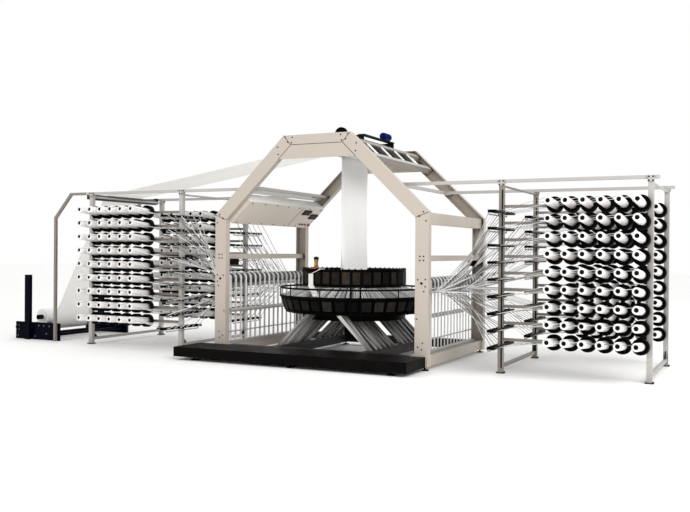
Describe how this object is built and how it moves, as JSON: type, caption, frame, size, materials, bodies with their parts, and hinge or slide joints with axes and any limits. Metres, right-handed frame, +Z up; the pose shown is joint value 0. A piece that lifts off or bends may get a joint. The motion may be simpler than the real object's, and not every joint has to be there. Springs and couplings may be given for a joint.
{
  "type": "circular loom",
  "caption": "Circular loom with a portal frame, round weaving head, side tape creels, overhead cloth take-off and a surface winder; weaves flat tapes into tubular cloth.",
  "frame": {"origin": "centre of the bounding box's underside, on the floor", "axes": "+Z up, +X along the creels from the winder to the far creel, +Y away from the operator platform"},
  "size_m": [9.73, 3.003, 3.0928],
  "materials": {
    "painted_frame": "satin powder coat",
    "black_paint": "satin black paint",
    "white_paint": "gloss white paint",
    "screen_glass": "glossy",
    "red_plastic": "glossy",
    "roller_rubber": "ground rubber",
    "bright_steel": "turned steel",
    "blue_paint": "gloss blue paint",
    "dark_iron": "painted casting",
    "shuttle_alloy": "machined",
    "woven_tape": "woven polyolefin tape",
    "tape_package": "wound tape",
    "oil_brass": "polished",
    "grey_tube": "zinc plated tube",
    "black_plastic": "moulded",
    "navy_paint": "satin navy paint"
  },
  "bodies": {
    "loom": {"front_left_post": "painted_frame", "front_right_post": "painted_frame", "rear_left_post": "painted_frame", "rear_right_post": "painted_frame", "portal_bevels": "painted_frame", "portal_top_beams": "painted_frame", "filler_panels": "painted_frame", "control_beam": "painted_frame", "side_ties": "painted_frame", "operator_platform": "black_paint", "base_beams": "black_paint", "levelling_feet": "black_paint", "roof_beams": "black_paint", "feed_motors": "black_paint", "drive_housing": "black_paint", "heald_drum": "black_paint", "warp_guide_ring": "black_paint", "guard_rail": "black_paint", "guide_bars": "black_paint", "takeoff_cheeks": "white_paint", "roof_plates": "white_paint", "oil_bracket": "white_paint", "control_screens": "screen_glass", "ring_column": "bright_steel", "shuttle_race": "bright_steel", "weaving_ring": "bright_steel", "head_pillars": "bright_steel", "takeoff_motor": "blue_paint", "main_motor": "dark_iron", "roller_bearings": "dark_iron", "warp_sheet": "woven_tape", "warp_ribbons": "woven_tape", "warp_tapes": "woven_tape", "fabric_tube": "woven_tape", "fabric_run": "woven_tape", "tape_bobbins": "tape_package", "oil_cup": "oil_brass", "inlet_bars": "grey_tube", "creel_posts": "grey_tube", "creel_top_rails": "grey_tube", "bobbin_rails": "grey_tube", "stand_legs": "grey_tube", "bobbin_spindles": "black_plastic", "winder_frame": "navy_paint"},
    "rotor": {"main_shaft": "bright_steel", "shuttle_carrier": "dark_iron", "shuttles": "shuttle_alloy"},
    "inner_healds": {"inner_healds": "bright_steel"},
    "outer_healds": {"outer_healds": "bright_steel"},
    "left_nip": {"left_nip_roller": "roller_rubber"},
    "right_nip": {"right_nip_roller": "roller_rubber"},
    "takeoff_drive": {"takeoff_shaft": "bright_steel", "handwheel": "black_paint"},
    "left_feed": {"left_feed_roller": "roller_rubber"},
    "right_feed": {"right_feed_roller": "roller_rubber"},
    "guide_roller": {"top_guide_roller": "bright_steel"},
    "right_drum": {"right_winder_drum": "roller_rubber"},
    "left_drum": {"left_winder_drum": "roller_rubber"},
    "roll": {"cloth_roll": "woven_tape"},
    "stop_button": {"stop_button": "red_plastic"}
  },
  "joints": [
    {"name": "rotor_spin", "type": "hinge", "parent": "loom", "child": "rotor", "pos_m": [0.765, 0.2435, 0.7], "axis": [0, 0, 1], "continuous": true},
    {"name": "inner_heald_slide", "type": "slide", "parent": "loom", "child": "inner_healds", "axis": [0, 0, 1], "range_m": [-0.03, 0.03], "stiffness_N_per_m": 6000},
    {"name": "outer_heald_slide", "type": "slide", "parent": "loom", "child": "outer_healds", "axis": [0, 0, 1], "range_m": [-0.03, 0.03]},
    {"name": "left_nip_spin", "type": "hinge", "parent": "loom", "child": "left_nip", "pos_m": [0.703, 0.2435, 2.868], "axis": [0, 1, 0], "continuous": true},
    {"name": "right_nip_spin", "type": "hinge", "parent": "loom", "child": "right_nip", "pos_m": [0.827, 0.2435, 2.868], "axis": [0, 1, 0], "continuous": true},
    {"name": "takeoff_shaft_spin", "type": "hinge", "parent": "loom", "child": "takeoff_drive", "pos_m": [1.025, 0.2435, 2.93], "axis": [0, 1, 0], "continuous": true},
    {"name": "left_feed_spin", "type": "hinge", "parent": "loom", "child": "left_feed", "pos_m": [-0.684, 0.2435, 1.05], "axis": [0, 1, 0], "continuous": true},
    {"name": "right_feed_spin", "type": "hinge", "parent": "loom", "child": "right_feed", "pos_m": [2.214, 0.2435, 1.05], "axis": [0, 1, 0], "continuous": true},
    {"name": "guide_roller_spin", "type": "hinge", "parent": "loom", "child": "guide_roller", "pos_m": [-3.345, 0.2435, 2.225], "axis": [0, 1, 0], "continuous": true},
    {"name": "right_drum_spin", "type": "hinge", "parent": "loom", "child": "right_drum", "pos_m": [-4.56, 0.2435, 0.18], "axis": [0, 1, 0], "continuous": true},
    {"name": "left_drum_spin", "type": "hinge", "parent": "loom", "child": "left_drum", "pos_m": [-4.81, 0.2435, 0.18], "axis": [0, 1, 0], "continuous": true},
    {"name": "roll_spin", "type": "hinge", "parent": "loom", "child": "roll", "pos_m": [-4.685, 0.2435, 0.32176], "axis": [0, 1, 0], "continuous": true},
    {"name": "stop_press", "type": "slide", "parent": "loom", "child": "stop_button", "axis": [-0.6944, 0, 0.7196], "range_m": [0, 0.006], "stiffness_N_per_m": 900}
  ],
  "couplings": [
    {"joint": "outer_heald_slide", "follows": "inner_heald_slide", "ratio": -1},
    {"joint": "right_nip_spin", "follows": "left_nip_spin", "ratio": -1},
    {"joint": "takeoff_shaft_spin", "follows": "left_nip_spin", "ratio": -2},
    {"joint": "left_drum_spin", "follows": "right_drum_spin", "ratio": 1},
    {"joint": "roll_spin", "follows": "right_drum_spin", "ratio": -0.42308}
  ]
}
